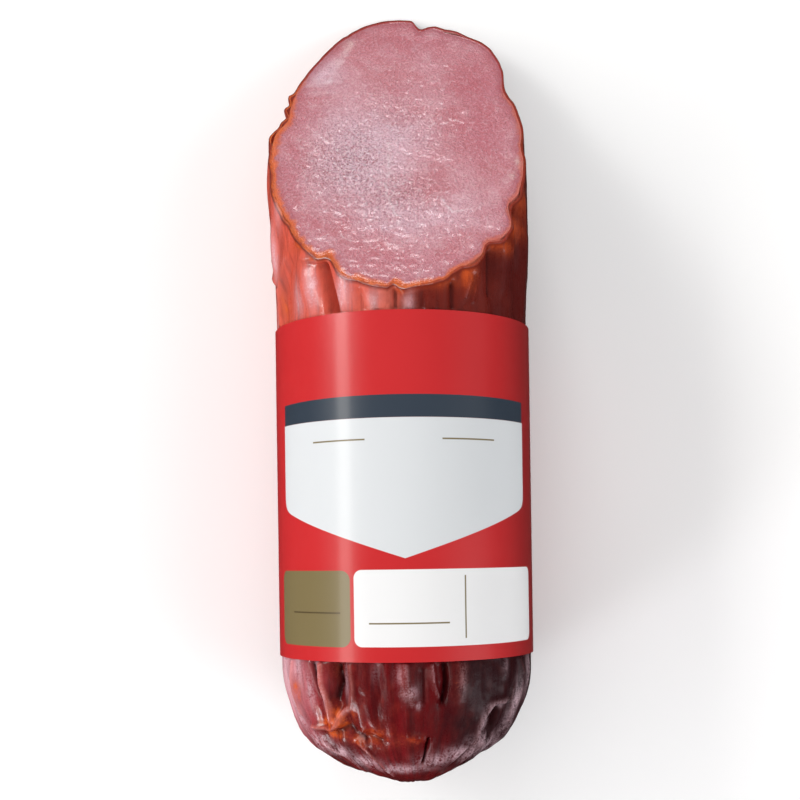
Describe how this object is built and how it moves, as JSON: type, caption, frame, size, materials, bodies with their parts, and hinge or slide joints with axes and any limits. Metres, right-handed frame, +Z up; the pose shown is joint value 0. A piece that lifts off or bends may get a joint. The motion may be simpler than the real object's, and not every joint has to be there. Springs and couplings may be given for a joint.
{
  "type": "cured sausage",
  "caption": "Half a dry ham sausage on its side: domed, wrinkled closed end, printed film band round the middle and a long slanted cut face.",
  "frame": {"origin": "on the resting surface, under the middle of the bounding box", "axes": "+Z up; +Y along the sausage, from the closed end to the cut end; +X to the right, seen from above with the cut end away"},
  "size_m": [0.0614, 0.191, 0.059],
  "materials": {
    "ham_filling": "moist cut ham, pink and finely mottled",
    "smoked_skin": "smoked, pleated and glossy, from orange-red to dark maroon",
    "printed_film": "satin red printed film with plain slate, white and gold panels"
  },
  "bodies": {
    "root": {"meat": "ham_filling", "casing": "smoked_skin", "label_band": "printed_film"}
  },
  "joints": []
}
